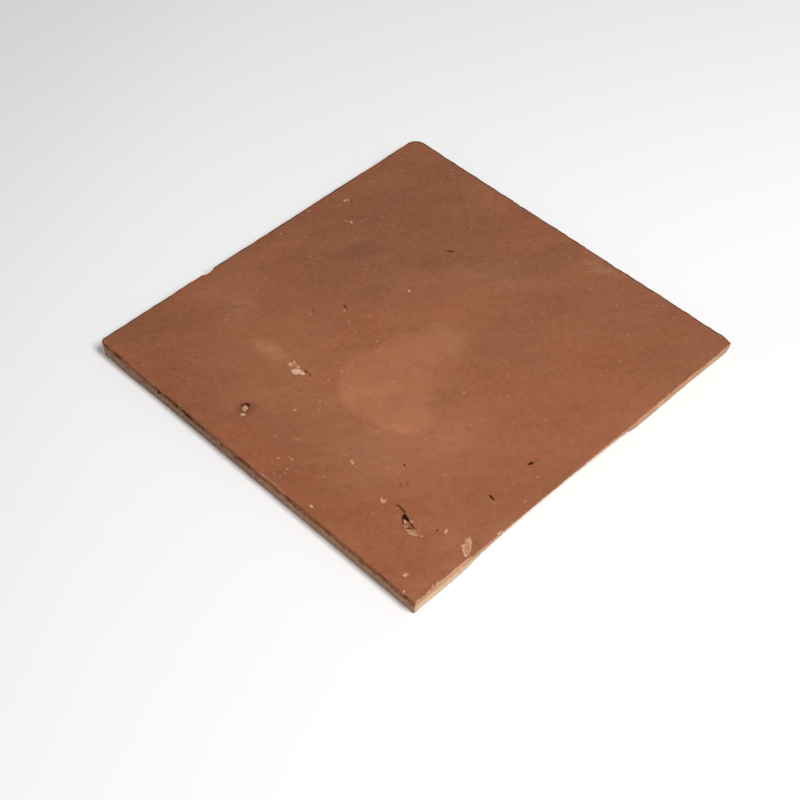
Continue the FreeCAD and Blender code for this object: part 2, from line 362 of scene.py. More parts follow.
def ovalsOf(kind):
    # x, y, length, width and turn of every hollow or gap
    return [row[:4] + row[5:6] for row in tile[kind].values()]


def detailOvals():
    marks = [row[:5] for rows in tile["marks"].values() for row in rows]
    return ovalsOf("hollows") + ovalsOf("gaps") + marks


def nearOvals(ovals, margin):
    def wanted(places):
        chosen = np.zeros(len(places), dtype=bool)
        for x, y, length, width, turn in ovals:
            chosen |= ovalDistance(places, x, y, length + 2 * margin, width + 2 * margin, turn) < 1
        return chosen

    return wanted


def wearFace(bm):
    inner = half - tile["arris"]
    bmesh.ops.create_grid(bm, x_segments=tile["cells"], y_segments=tile["cells"], size=inner)
    for width in tile["bands"]:
        makeFiner(bm, nearEdge(width))
    for margin in tile["markMargins"]:
        makeFiner(bm, nearOvals(detailOvals(), margin))
    makeFiner(bm, nearOvals(ovalsOf("gaps"), tile["gapMargin"]))
    makeFiner(bm, nearCorner)
    cornerSigns = {"frontLeft": (-1, -1), "frontRight": (1, -1), "backRight": (1, 1), "backLeft": (-1, 1)}
    for name, (signX, signY) in cornerSigns.items():
        sizeX, sizeY = [size - tile["arris"] for size in tile["corners"][name]]
        for vert in bm.verts:
            outX = (signX * vert.co.x - inner + sizeX) / sizeX
            outY = (signY * vert.co.y - inner + sizeY) / sizeY
            if outX > 0 and outY > 0:  # pull the square corner in to a quarter of an oval
                share = 1 - max(outX, outY) / math.hypot(outX, outY)
                vert.co.x -= signX * sizeX * outX * share
                vert.co.y -= signY * sizeY * outY * share
    knockX, knockY = tile["knock"]
    slant = Vector((knockY, -knockX, 0)).normalized()
    onSlant = Vector((half - knockX, -half, 0)) - slant * tile["arris"]
    everything = bm.verts[:] + bm.edges[:] + bm.faces[:]
    bmesh.ops.bisect_plane(bm, geom=everything, plane_co=onSlant, plane_no=slant, clear_outer=True)
    bmesh.ops.translate(bm, verts=bm.verts, vec=(0, 0, top))


def rimEdges(bm):
    return [edge for edge in bm.edges if edge.is_boundary]


def setOutward(bm):
    # Keep the direction out of the tile on each rim vertex, for the rings below it
    outward = bm.verts.layers.float_vector.new("outward")
    for edge in rimEdges(bm):
        run = (edge.verts[1].co - edge.verts[0].co).normalized()
        away = run.cross(Vector((0, 0, 1)))
        middle = (edge.verts[0].co + edge.verts[1].co) / 2
        if away.dot(middle - edge.link_faces[0].calc_center_median()) < 0:
            away.negate()
        for vert in edge.verts:
            vert[outward] = vert[outward] + away
    for vert in bm.verts:
        if vert[outward].length > 0:
            vert[outward] = vert[outward].normalized()
    return outward


def addRing(bm, edges, move):
    made = bmesh.ops.extrude_edge_only(bm, edges=edges)["geom"]
    for vert in made:
        if isinstance(vert, bmesh.types.BMVert):
            move(vert)
    return [edge for edge in made if isinstance(edge, bmesh.types.BMEdge) and edge.is_boundary]


def leanOf(side, along):
    # Each side leans in by the amounts at its two ends, from left to right or from front to back
    start, end = tile["undercut"][side]
    return start + (end - start) * (along + half) / (2 * half)


def leanAt(place, direction):
    leanX = leanOf("right" if direction.x > 0 else "left", place.y)
    leanY = leanOf("back" if direction.y > 0 else "front", place.x)
    knockX, knockY = tile["knock"]
    if direction.x > 0:  # the slanted corner comes out again towards the foot
        leanX -= knockX * max(0, 1 - (place.y + half) / knockY)
    widest = max(abs(direction.x), abs(direction.y))
    return -Vector((leanX * direction.x, leanY * direction.y, 0)) / widest


def tileWalls(bm):
    outward = setOutward(bm)
    edges = rimEdges(bm)
    arris, foot = tile["arris"], tile["foot"]
    for ring in range(1, tile["arrisRings"] + 1):
        before = math.radians(90 * (ring - 1) / tile["arrisRings"])
        now = math.radians(90 * ring / tile["arrisRings"])
        out = arris * (math.sin(now) - math.sin(before))
        down = arris * (math.cos(before) - math.cos(now))

        def roundOver(vert):
            vert.co += vert[outward] * out - Vector((0, 0, down))

        edges = addRing(bm, edges, roundOver)
    height = top - arris - foot
    for ring in range(tile["wallRings"]):
        before = (ring / tile["wallRings"]) ** tile["ringCrowding"]
        now = ((ring + 1) / tile["wallRings"]) ** tile["ringCrowding"]

        def leanIn(vert):
            vert.co += (leanAt(vert.co, vert[outward]) - Vector((0, 0, height))) * (now - before)
            vert.co.y = max(vert.co.y, leanOf("front", vert.co.x) * now - half)

        edges = addRing(bm, edges, leanIn)

    def rubFoot(vert):
        vert.co -= vert[outward] * foot + Vector((0, 0, foot))
        vert.co.y = max(vert.co.y, leanOf("front", vert.co.x) + foot - half)

    return addRing(bm, edges, rubFoot)


def beddingFace(bm, footEdges):
    cells = tile["underCells"]
    size = half - tile["underInset"]
    made = bmesh.ops.create_grid(bm, x_segments=cells, y_segments=cells, size=size)
    inside = set(made["verts"])
    gridEdges = [edge for edge in rimEdges(bm) if edge.verts[0] in inside]
    bmesh.ops.triangle_fill(bm, edges=footEdges + gridEdges, use_beauty=True)
    bmesh.ops.remove_doubles(bm, verts=bm.verts, dist=0.001)
    bmesh.ops.recalc_face_normals(bm, faces=bm.faces)


def drawSidesIn(places):
    # The hand-cut waves and the ragged run of each edge, always into the tile
    for number, (name, (along, inward)) in enumerate(sideAxes.items()):
        run = places @ along
        depth = places @ inward + half
        share = np.clip((run + half) / (2 * half), 0, 1)
        wave = (1 - np.cos(2 * math.pi * tile["waves"][name] * share)) / 2
        pull = tile["setBack"][name] * (1 - ease(*tile["setBackEnd"], run))
        pull = pull + tile["waveDepth"] * wave
        line = [Vector((place, 0, 0)) for place in run]
        rough = ripples(line, tile["raggedGrains"], number)
        calm = 1 - 0.9 * ease(*tile["calmEnd"], run)
        pull = pull + tile["ragged"][name] * calm * np.clip(0.4 + 0.9 * rough, 0, 1.2)
        pull = pull * np.clip((tile["sideReach"] - depth) / tile["sideFade"], 0, 1)
        places += pull[:, None] * inward


def sideShares(away):
    # How much each vertex belongs to each side, from its direction out of the tile
    shares = {}
    for name, (along, inward) in sideAxes.items():
        shares[name] = np.clip(-(away @ inward), 0, 1) ** 2
    return shares


def nearestRim(places, rim):
    # The rim vertex that is nearest to each place, and how far it is
    tree = kdtree.KDTree(len(rim))
    for index in rim:
        tree.insert(places[index], index)
    tree.balance()
    found = [tree.find(place) for place in places]
    return np.array([index for place, index, gap in found]), np.array([gap for place, index, gap in found])


def findZones(bm):
    # The part of the tile that each vertex is on, before any relief. wall is 0 on top and 1 at the foot
    outward = bm.verts.layers.float_vector["outward"]
    places = placesOf(bm)
    zone = SimpleNamespace(away=np.array([vert[outward] for vert in bm.verts]))
    zone.shares = sideShares(zone.away)
    zone.wall = np.clip((top - places[:, 2]) / top, 0, 1)
    zone.onTop = zone.wall < 0.001
    zone.below = places[:, 2] < 0.001
    zone.onWall = ~zone.onTop & ~zone.below
    rim = np.flatnonzero(zone.onTop & (abs(zone.away).sum(axis=1) > 0))
    zone.rimVertex, rimGap = nearestRim(places, rim)
    zone.rimGap = np.where(zone.onTop, rimGap, 9)
    return places, zone


def addTo(masks, name, values):
    masks[name] = np.maximum(masks[name], values)


def swellFaces(places, zone):
    # Slow swell of the wear face and the bedding face
    lift = tile["swell"] * np.clip(0.5 + 0.5 * ripples(places, tile["swellGrains"]), 0, 1)
    places[:, 2] -= np.where(zone.below, 0, lift * (1 - zone.wall))
    places[:, 2] += np.where(zone.below, 1.2 * lift, 0)


def tearWalls(places, zone, masks):
    # Torn walls, with a hollow that comes and goes under the edge
    rough = sum(zone.shares[name] * tile["wallRough"][name] for name in sideAxes)
    torn = 0.5 + 0.5 * ripples(places, tile["tornGrains"])
    inwards = rough * np.clip(torn, 0, 1) * np.clip(zone.wall * 6, 0, 1)
    layered = places * (1, 1, 1.8)
    hollowed = np.clip(0.3 + ripples(layered, tile["grooveGrains"]), 0, 1)
    hollowed = hollowed * within(*tile["grooveBand"], zone.wall)
    inwards += hollowed * sum(zone.shares[name] * tile["groove"][name] for name in sideAxes)
    knockedX, knockedY = tile["knockZone"]
    knocked = ease(*knockedX, places[:, 0]) * (1 - ease(*knockedY, places[:, 1]))
    inwards *= 1 - 0.9 * knocked
    places -= np.where(zone.onWall, inwards, 0)[:, None] * zone.away

    # Painted shade in the hollows under the edge, kept off the lit front, and bare clay below the skin at
    # the far end of the left side
    along = places[:, 1]
    shaded = np.maximum(within(*tile["shadedRun"], along), 1 - ease(*tile["shadedEnd"], along))
    farEnd = zone.shares["left"] * ease(*tile["farEnd"], along)
    nearHalf = zone.shares["left"] * within(*tile["nearHalf"], along)
    dark = 0.55 + 0.25 * (shaded - farEnd - nearHalf)
    dark = dark * hollowed * (1 - zone.shares["front"])
    addTo(masks, "soot", np.where(zone.onWall, dark, 0))
    clay = ease(*tile["farEndSkin"], zone.wall + 0.08 * ripple(places, 5, 9))
    addTo(masks, "bare", np.where(zone.onWall, 0.8 * farEnd * clay, 0))


def darkenEdges(places, zone, masks):
    # Painted shade: a dark line along the far edges, and along the foot of the front towards the right
    shares = zone.shares
    leftShare = shares["left"] * ease(*tile["farRim"], places[:, 1])
    farShare = shares["back"] + shares["right"] + leftShare
    farEdge = np.where(zone.wall < 0.07, farShare, 0)
    onRim = 1 - ease(*tile["farRimWidth"], zone.rimGap)
    farEdge = np.maximum(farEdge, farShare[zone.rimVertex] * onRim)
    addTo(masks, "soot", 0.6 * farEdge * np.clip(0.85 + 0.5 * ripple(places, 5, 8), 0, 1))
    footBand, footRun = tile["frontFoot"]
    frontFoot = shares["front"] * ease(*footBand, zone.wall) * ease(*footRun, places[:, 0])
    addTo(masks, "soot", 0.45 * np.where(zone.onWall, frontFoot, 0))


def sideRadii(along, inward, length, depth, tall):
    # Half sizes along X, Y and Z of an ellipsoid that lies along a side
    radii = Vector([abs(value) for value in along * length / 2 + inward * depth])
    radii.z = tall
    return radii


def scoopWallPits(places, zone, masks):
    rise = 0.5  # the pits' middles lie this far inside the wall
    for side, rows in tile["wallPits"].items():
        along, inward = sideAxes[side]
        for at, down, length, tall, depth, dark in rows:
            centre = along * at - inward * (half - rise) + Vector((0, 0, top - down))
            radii = sideRadii(along, inward, length, depth + rise, tall / 2)
            warped = places + zone.wander * 0.5 + zone.fineWander * 0.25
            reach = np.where(zone.onWall, scoopReach(warped, centre, radii, 0, inward), 0)
            places += reach[:, None] * inward
            # painted shade in the pit
            addTo(masks, "soot", 0.7 * dark * ease(0.02, 0.9, reach))


def sinkHollows(places, zone, masks):
    crumbs = np.clip(0.8 + 0.8 * zone.fineWander[:, 0], 0, 1)
    for x, y, length, width, depth, turn, clay, rim, dark in tile["hollows"].values():
        warped = places + zone.wander * width * 0.14 + zone.fineWander * width * 0.05
        warped[:, 2] = places[:, 2]
        level = places[np.hypot(places[:, 0] - x, places[:, 1] - y) < 6, 2].max()
        reach = scoopReach(warped, (x, y, level), (length / 2, width / 2, depth), turn, (0, 0, -1))
        reach = np.where(zone.onTop, reach, 0) * (1 + 0.25 * zone.fineWander[:, 2])
        places[:, 2] -= reach
        addTo(masks, "bare", clay * ease(0.05, 0.35 * depth, reach))
        # painted shade in the deep part of the hollow
        addTo(masks, "soot", dark * ease(0.1 * depth, 0.6 * depth, reach))
        border = abs(ovalDistance(warped, x, y, length, width, turn) - 0.85)
        paleRim = rim * crumbs * (1 - ease(0.1, 0.36, border))
        addTo(masks, "bare", np.where(zone.onTop, paleRim, 0))


def openGaps(places, zone, masks):
    warped = places + zone.wander * 0.2 + zone.fineWander * 0.14
    for x, y, length, width, depth, turn, dark in tile["gaps"].values():
        inside = 1 - ease(0.4, 1.1, ovalDistance(warped, x, y, length, width, turn))
        inside = np.where(zone.onTop, inside, 0)
        places[:, 2] -= depth * inside
        # painted shade down in the gap
        addTo(masks, "soot", dark * inside)


def breakChips(places, zone, masks):
    clear = 0.3  # the chips' middles lie this far outside the edge
    for side, at, length, reachIn, drop, clay in tile["chips"].values():
        along, inward = sideAxes[side]
        centre = along * at - inward * (half + clear) + Vector((0, 0, top + clear))
        radii = sideRadii(along, inward, length, reachIn + clear, drop + clear)
        heading = (inward - Vector((0, 0, 1))).normalized()
        warped = places + zone.wander * 0.4 + zone.fineWander * 0.25
        reach = np.where(zone.below, 0, scoopReach(warped, centre, radii, 0, heading))
        places += reach[:, None] * heading
        edge = ease(0.02, 0.25, reach) - 0.6 * ease(0.45, 1, reach)
        addTo(masks, "bare", clay * edge)


def flakeOff(places, zone):
    # Flakes lost from the foot of the walls
    wander = zone.wander * 0.6 + zone.fineWander * 0.25
    for side, at, length, depth, height, standoff in tile["spalls"]:
        along, inward = sideAxes[side]
        across = depth + standoff
        widen = math.sqrt(1 - (standoff / across) ** 2)
        foot = leanAt(along * at, -inward).dot(inward) - half
        centre = along * at + inward * (foot - standoff)
        radii = sideRadii(along, inward, length / widen, across, height / widen)
        reach = scoopReach(places + wander, centre, radii, 0, inward)
        nearSide = places @ inward < tile["sideReach"] - half
        places += np.where((zone.wall > 0.1) & nearSide, reach, 0)[:, None] * inward


def stampMarks(places, zone, masks):
    for kind, rows in tile["marks"].items():
        for x, y, length, width, turn, strength in rows:
            warped = places + zone.wander * width * 0.12 + zone.fineWander * width * 0.08
            spot = 1 - ease(0.45, 1.1, ovalDistance(warped, x, y, length, width, turn))
            addTo(masks, kind, np.where(zone.onTop, strength * spot, 0))


def bareFront(places, zone, masks):
    # The front is bare clay, and the fired skin hangs over its edge in tongues
    run = [Vector((place, 0, 0)) for place in places[:, 0]]
    tongue = np.clip(0.1 + ripples(run, tile["tongueGrains"]), 0, 1)
    worn = 1 - 0.75 * ease(*tile["wornEnd"], places[:, 0])
    front = zone.shares["front"] * zone.onWall
    skinEnd = ease(-0.04 * worn, 0.05 - 0.03 * worn, zone.wall - 0.08 * tongue)
    addTo(masks, "bare", front * skinEnd)
    frontRim = zone.shares["front"][zone.rimVertex] * (1 - ease(0.1, 0.9, zone.rimGap))
    addTo(masks, "bare", (0.2 + 0.45 * worn - 0.4 * tongue) * frontRim)
    masks["pale"] = front * (1 - 0.5 * ease(*tile["frontPale"], places[:, 0]))
    addTo(masks, "pale", 0.21 * zone.shares["left"] * (1 - ease(*tile["leftPale"], places[:, 1])))
    addTo(masks, "pale", zone.onTop)


def firingTonesAndShade(places, masks):
    bent = places + 5 * wandering(places, 14, 21)
    for x, y, alongHalf, acrossHalf, turn, soft, lighter, redder, dusty in tile["tones"]:
        distance = ovalDistance(bent, x, y, 2 * alongHalf, 2 * acrossHalf, turn)
        weight = 1 - ease(1 - soft, 1 + soft, distance)
        masks["tone"] += lighter * weight
        masks["blush"] += redder * weight
        masks["dust"] += dusty * weight

    # The pale patch has a firmer edge at the back and left, and fades out at the front and right
    bent = places + 3 * wandering(places, 8, 24)
    fade = 0.11 + 0.4 * ease(-30, 30, places[:, 0] - 0.7 * places[:, 1])
    straw = np.zeros(len(places))
    for x, y, alongHalf, acrossHalf, turn, strength in tile["patch"]:
        distance = ovalDistance(bent, x, y, 2 * alongHalf, 2 * acrossHalf, turn)
        straw = np.maximum(straw, strength * (1 - ease(1 - fade, 1 + fade, distance)))
    straw = straw * np.clip(0.85 + 0.35 * ripple(places, 12, 27), 0, 1)
    lighter, yellower = tile["patchTone"]
    masks["tone"] += lighter * straw
    masks["straw"] = yellower * straw


def shapeRelief(bm):
    # All the relief in the order it came about, and the masks that the material reads
    places, zone = findZones(bm)
    masks = {name: np.zeros(len(places)) for name in ("bare", "soot", "lime", "tone", "blush", "dust")}
    masks["wall"] = zone.wall
    drawSidesIn(places)
    swellFaces(places, zone)
    tearWalls(places, zone, masks)
    darkenEdges(places, zone, masks)
    zone.wander = wandering(places, 2.6, 11)
    zone.fineWander = wandering(places, 0.9, 14)
    for step in (scoopWallPits, sinkHollows, openGaps, breakChips):
        step(places, zone, masks)
    flakeOff(places, zone)
    stampMarks(places, zone, masks)
    bareFront(places, zone, masks)
    firingTonesAndShade(places, masks)
    for vert, place in zip(bm.verts, places):
        vert.co = place
    for name, values in masks.items():
        layer = bm.verts.layers.float.new(name)
        for vert, value in zip(bm.verts, values):
            vert[layer] = value


def addObject(name, data):
    made = bpy.data.objects.new(name, data)
    bpy.context.collection.objects.link(made)
    return made


def makeObject(name, bm, material):
    for face in bm.faces:
        face.smooth = True
    bmesh.ops.scale(bm, vec=(mm, mm, mm), verts=bm.verts)
    mesh = bpy.data.meshes.new(name)
    bm.to_mesh(mesh)
    triangles = sum(len(face.verts) - 2 for face in bm.faces)
    openEdges = sum(1 for edge in bm.edges if not edge.is_manifold)
    bm.free()
    mesh.materials.append(material)
    print(name, "has", triangles, "triangles and", openEdges, "open edges")
    return addObject(name, mesh)


# Small helpers for shader nodes
def feed(tree, node, feeds):
    for key, value in feeds.items():
        if isinstance(value, bpy.types.NodeSocket):
            tree.links.new(value, node.inputs[key])
        else:
            node.inputs[key].default_value = value


def put(tree, kind, feeds, **settings):
    made = tree.nodes.new(kind)
    made.location = (180 * len(tree.nodes), 0)
    for name, value in settings.items():
        setattr(made, name, value)
    feed(tree, made, feeds)
    return made


def sums(tree, operation, first, second):
    return put(tree, "ShaderNodeMath", {0: first, 1: second}, operation=operation).outputs[0]


def times(tree, first, second):
    return sums(tree, "MULTIPLY", first, second)


def blend(tree, amount, first, second, way="MIX"):
    made = put(tree, "ShaderNodeMix", {0: amount, 6: first, 7: second}, data_type="RGBA", blend_type=way)
    return made.outputs[2]


def remap(tree, value, fromLow, fromHigh, toLow=0, toHigh=1):
    feeds = {"Value": value, "From Min": fromLow, "From Max": fromHigh, "To Min": toLow, "To Max": toHigh}
    return put(tree, "ShaderNodeMapRange", feeds, interpolation_type="SMOOTHSTEP").outputs["Result"]


def speckle(tree, coords, scale, detail=4, rough=0.55, seed=0):
    feeds = {"Vector": coords, "W": seed, "Scale": scale, "Detail": detail, "Roughness": rough}
    return put(tree, "ShaderNodeTexNoise", feeds, noise_dimensions="4D").outputs["Fac"]


def swing(tree, value, noiseValue, amount):
    # Move a value up and down by a noise, which is taken about 0 instead of about one half
    about = times(tree, sums(tree, "SUBTRACT", noiseValue, 0.5), amount)
    return sums(tree, "ADD", value, about)


def readMask(tree, name):
    return put(tree, "ShaderNodeAttribute", {}, attribute_name=name).outputs["Fac"]


def newGroup(name, values, outputs):
    # A group with one vector, some values with their usual amounts, and values that come out
    group = bpy.data.node_groups.new(name, "ShaderNodeTree")
    group.interface.new_socket("Vector", in_out="INPUT", socket_type="NodeSocketVector")
    for socket, value in values.items():
        made = group.interface.new_socket(socket, in_out="INPUT", socket_type="NodeSocketFloat")
        made.default_value = value
    for socket in outputs:
        group.interface.new_socket(socket, in_out="OUTPUT", socket_type="NodeSocketFloat")
    start = group.nodes.new("NodeGroupInput")
    end = group.nodes.new("NodeGroupOutput")
    return group, start, end


def clayGrainGroup():
    # Fine grain of fired clay: a grain value for the colour, pores and pale grit, and one height
    values = {"Grain Scale": 900, "Grit Scale": 260}
    group, start, end = newGroup("clayGrain", values, ["Grain", "Pores", "Grit", "Height"])
    coords = start.outputs["Vector"]
    grain = speckle(group, coords, start.outputs["Grain Scale"], 6, 0.65)
    cells = put(group, "ShaderNodeTexVoronoi", {"Vector": coords, "Scale": start.outputs["Grit Scale"]})
    pick = put(group, "ShaderNodeSeparateColor", {"Color": cells.outputs["Color"]})
    dot = remap(group, cells.outputs["Distance"], 0.12, 0.34, 1, 0)
    pores = times(group, dot, remap(group, pick.outputs["Red"], 0.985, 1))
    grit = times(group, dot, remap(group, pick.outputs["Green"], 0.9, 1))
    height = sums(group, "SUBTRACT", grain, times(group, pores, 0.9))
    feed(group, end, {"Grain": grain, "Pores": pores, "Grit": grit, "Height": height})
    return group


def brokenEdgeGroup():
    # Turns a soft mask into one with a crumbled border
    values = {"Mask": 0, "Crumble Scale": 700, "Crumble": 0.5}
    group, start, end = newGroup("brokenEdge", values, ["Mask"])
    rough = speckle(group, start.outputs["Vector"], start.outputs["Crumble Scale"], 3)
    shift = times(group, sums(group, "SUBTRACT", rough, 0.5), start.outputs["Crumble"])
    present = remap(group, start.outputs["Mask"], 0.02, 0.2)
    moved = sums(group, "ADD", start.outputs["Mask"], times(group, shift, present))
    feed(group, end, {"Mask": remap(group, moved, 0.2, 0.75)})
    return group


clayGrain = clayGrainGroup()
brokenEdge = brokenEdgeGroup()

firedClay = {
    "dark": (0.204, 0.072, 0.034, 1),
    "light": (0.436, 0.166, 0.081, 1),
    "redTint": (1.06, 0.95, 0.9, 1),
    "greyTint": (0.95, 1.03, 1.11, 1),
    "strawTint": (1.07, 1.2, 1.15, 1),
    "dust": (0.44, 0.225, 0.14, 1),
    "scuff": (0.63, 0.348, 0.216, 1),
    "peach": (0.56, 0.298, 0.155, 1),
    "pink": (0.7, 0.42, 0.31, 1),
    "chalky": (0.76, 0.578, 0.405, 1),
    "torn": (0.435, 0.264, 0.182, 1),
    "tornDark": (0.25, 0.134, 0.08, 1),
    "lime": (0.69, 0.43, 0.3, 1),
    # near-black for soot specks, and for painted shade in hollows, gaps, pits, pores, along the far edges
    # and at the front foot
    "soot": (0.045, 0.014, 0.006, 1),
    "grit": (0.54, 0.27, 0.16, 1),
    "skinDown": 0.46,  # share of the wall that the fired skin covers
    "skinEdge": 0.08,
    "tone": 0.455,  # from dark to light, before the noises
    # Noises of the skin: scale, detail, roughness, seed, and how far they swing its tone or its hue
    "wide": (15, 3, 0.5, 9, 0.24),
    "blotch": (45, 4, 0.6, 1, 0.52),
    "patch": (170, 5, 0.6, 2, 0.48),
    "mottle": (420, 3, 0.6, 3, 0.5),
    "grain": 0.48,
    "hues": [(16, 3, 0.5, 10, 0.9), (60, 4, 0.6, 4, 0.7), (300, 2, 0.6, 5, 0.45)],
    "gritShow": 0.36,
    "poreShow": 0.4,
}


def newMaterial(name):
    made = bpy.data.materials.new(name)
    made.use_nodes = True
    tree = made.node_tree
    surface = tree.nodes["Principled BSDF"]
    feed(tree, surface, {"Specular IOR Level": 0.12})
    coords = put(tree, "ShaderNodeTexCoord", {}).outputs["Object"]
    return made, tree, surface, coords


def crumbled(tree, coords, name):
    feeds = {"Mask": readMask(tree, name), "Vector": coords}
    return put(tree, "ShaderNodeGroup", feeds, node_tree=brokenEdge).outputs["Mask"]


def firedClayMaterial():
    made, tree, surface, coords = newMaterial("firedClay")
    grain = put(tree, "ShaderNodeGroup", {"Vector": coords}, node_tree=clayGrain)

    # Skin: firing tones with the painted shade round the stone pit, blotches smeared one way, mottling and
    # fine grain
    smear = put(tree, "ShaderNodeMapping", {"Vector": coords, "Rotation": (0, 0, 0.6)}).outputs["Vector"]
    smear = put(tree, "ShaderNodeMapping", {"Vector": smear, "Scale": (0.4, 1.2, 1)}).outputs["Vector"]
    noises = {}
    level = sums(tree, "ADD", firedClay["tone"], times(tree, readMask(tree, "tone"), 0.5))
    for name, where in (("wide", coords), ("blotch", smear), ("patch", coords), ("mottle", coords)):
        *settings, amount = firedClay[name]
        noises[name] = speckle(tree, where, *settings)
        level = swing(tree, level, noises[name], amount)
    patch = noises["patch"]
    level = swing(tree, level, grain.outputs["Grain"], firedClay["grain"])
    skin = blend(tree, level, firedClay["dark"], firedClay["light"])
    hue = sums(tree, "ADD", times(tree, readMask(tree, "blush"), 0.5), 0.5)
    for *settings, amount in firedClay["hues"]:
        hue = swing(tree, hue, speckle(tree, coords, *settings), amount)
    tint = blend(tree, hue, firedClay["greyTint"], firedClay["redTint"])
    tint = blend(tree, readMask(tree, "straw"), tint, firedClay["strawTint"])
    skin = blend(tree, 1, skin, tint, "MULTIPLY")
    streak = speckle(tree, smear, 300, 4, 0.6, 11)
    dusty = times(tree, readMask(tree, "dust"), remap(tree, streak, 0.38, 0.66, 0.2, 1.8))
    dusty = sums(tree, "MAXIMUM", dusty, remap(tree, streak, 0.58, 0.74, 0, 0.2))
    skin = blend(tree, dusty, skin, firedClay["dust"])
    grit = times(tree, grain.outputs["Grit"], firedClay["gritShow"])
    skin = blend(tree, grit, skin, firedClay["grit"])
    # Pores take the near-black colour: painted shade down in them
    pores = times(tree, grain.outputs["Pores"], firedClay["poreShow"])
    skin = blend(tree, pores, skin, firedClay["soot"])

    # Bare clay on the walls, in the chips and underneath
    wall = readMask(tree, "wall")
    layers = put(tree, "ShaderNodeMapping", {"Vector": coords, "Scale": (0.2, 0.2, 1)})
    seam = speckle(tree, layers.outputs["Vector"], 480, 4, 0.6, 6)
    lump = speckle(tree, coords, 330, 5, 0.65, 7)
    chalk = swing(tree, swing(tree, wall, lump, 0.9), seam, 0.5)
    pale = readMask(tree, "pale")
    rosy = remap(tree, speckle(tree, coords, 80, 3, 0.55, 8), 0.49, 0.66)
    rosy = times(tree, rosy, remap(tree, wall, 0.05, 0.3, 0.3, 1))
    fresh = blend(tree, rosy, firedClay["peach"], firedClay["pink"])
    chalk = times(tree, remap(tree, chalk, 0.12, 0.62), remap(tree, pale, 0.4, 1, 0.12, 1))
    fresh = blend(tree, chalk, fresh, firedClay["chalky"])
    fresh = blend(tree, remap(tree, seam, 0.5, 0.75, 0, 0.5), fresh, firedClay["light"])
    specks = remap(tree, grain.outputs["Grain"], 0.3, 0.7, 0.25, 0)
    fresh = blend(tree, specks, fresh, firedClay["light"])
    torn = blend(tree, remap(tree, lump, 0.36, 0.62), firedClay["tornDark"], firedClay["torn"])
    body = blend(tree, remap(tree, pale, 0, 0.5), torn, fresh)
    body = blend(tree, remap(tree, wall, 0, 0.03), firedClay["scuff"], body)
    down = swing(tree, swing(tree, wall, patch, 0.8), lump, 0.6)
    skinDown, skinEdge = firedClay["skinDown"], firedClay["skinEdge"]
    bandMask = remap(tree, down, skinDown - skinEdge, skinDown + skinEdge)
    bandMask = times(tree, bandMask, remap(tree, wall, 0.04, 0.12))
    bareMask = sums(tree, "MAXIMUM", crumbled(tree, coords, "bare"), bandMask)
    colour = blend(tree, bareMask, skin, body)

    # Lime, and soot with painted shade in the hollows, on top of both
    for name in ("lime", "soot"):
        colour = blend(tree, crumbled(tree, coords, name), colour, firedClay[name])
    rough = remap(tree, patch, 0.3, 0.7, 0.78, 0.9)
    height = sums(tree, "ADD", grain.outputs["Height"], times(tree, patch, 1.5))
    bump = put(tree, "ShaderNodeBump", {"Strength": 0.35, "Distance": 0.0005, "Height": height})
    feed(tree, surface, {"Base Color": colour, "Roughness": rough, "Normal": bump.outputs["Normal"]})
    return made


bm = bmesh.new()
wearFace(bm)
beddingFace(bm, tileWalls(bm))
shapeRelief(bm)
bmesh.ops.recalc_face_normals(bm, faces=bm.faces)
firedTile = makeObject("fired_tile", bm, firedClayMaterial())
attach(firedTile, "root")
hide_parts("floor_tile")

# Grit that sits in the pits: x, y, height of the middle, three half sizes, turn and a seed
pitStones = {
    "stones": [
        (-119.8, 35.6, 11.9, 2.5, 2.2, 0.9, 45, 3),
        (-124.4, 31.9, 12.6, 1.6, 2.1, 0.5, 45, 4),
        (-110.9, -102, 12.1, 1.2, 1, 0.8, 45, 5),
    ],
    "rough": 0.25,
    "pale": (0.6, 0.335, 0.222, 1),
    "stain": (0.42, 0.23, 0.14, 1),
}


def pitStoneMaterial():
    made, tree, surface, coords = newMaterial("limeGrit")
    grain = put(tree, "ShaderNodeGroup", {"Vector": coords, "Grain Scale": 1400}, node_tree=clayGrain)
    stain = remap(tree, speckle(tree, coords, 500), 0.45, 0.7)
    colour = blend(tree, stain, pitStones["pale"], pitStones["stain"])
    rough = remap(tree, grain.outputs["Grain"], 0.3, 0.7, 0.75, 0.9)
    height = grain.outputs["Height"]
    bump = put(tree, "ShaderNodeBump", {"Strength": 0.3, "Distance": 0.0003, "Height": height})
    feed(tree, surface, {"Base Color": colour, "Roughness": rough, "Normal": bump.outputs["Normal"]})
    return made


bm = bmesh.new()
for x, y, z, sizeX, sizeY, sizeZ, turn, seed in pitStones["stones"]:
    made = bmesh.ops.create_icosphere(bm, subdivisions=3, radius=1)
    for vert in made["verts"]:
        knob = noise.noise(vert.co * 1.6 + Vector((seed * 3.7, 0, 0)))
        vert.co *= 1 + pitStones["rough"] * knob
    bmesh.ops.scale(bm, vec=(sizeX, sizeY, sizeZ), verts=made["verts"])
    bmesh.ops.rotate(bm, matrix=Matrix.Rotation(math.radians(turn), 3, "Z"), verts=made["verts"])
    bmesh.ops.translate(bm, vec=(x, y, z - 0.2), verts=made["verts"])
pitGrit = makeObject("pit_grit", bm, pitStoneMaterial())
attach(pitGrit, "root")

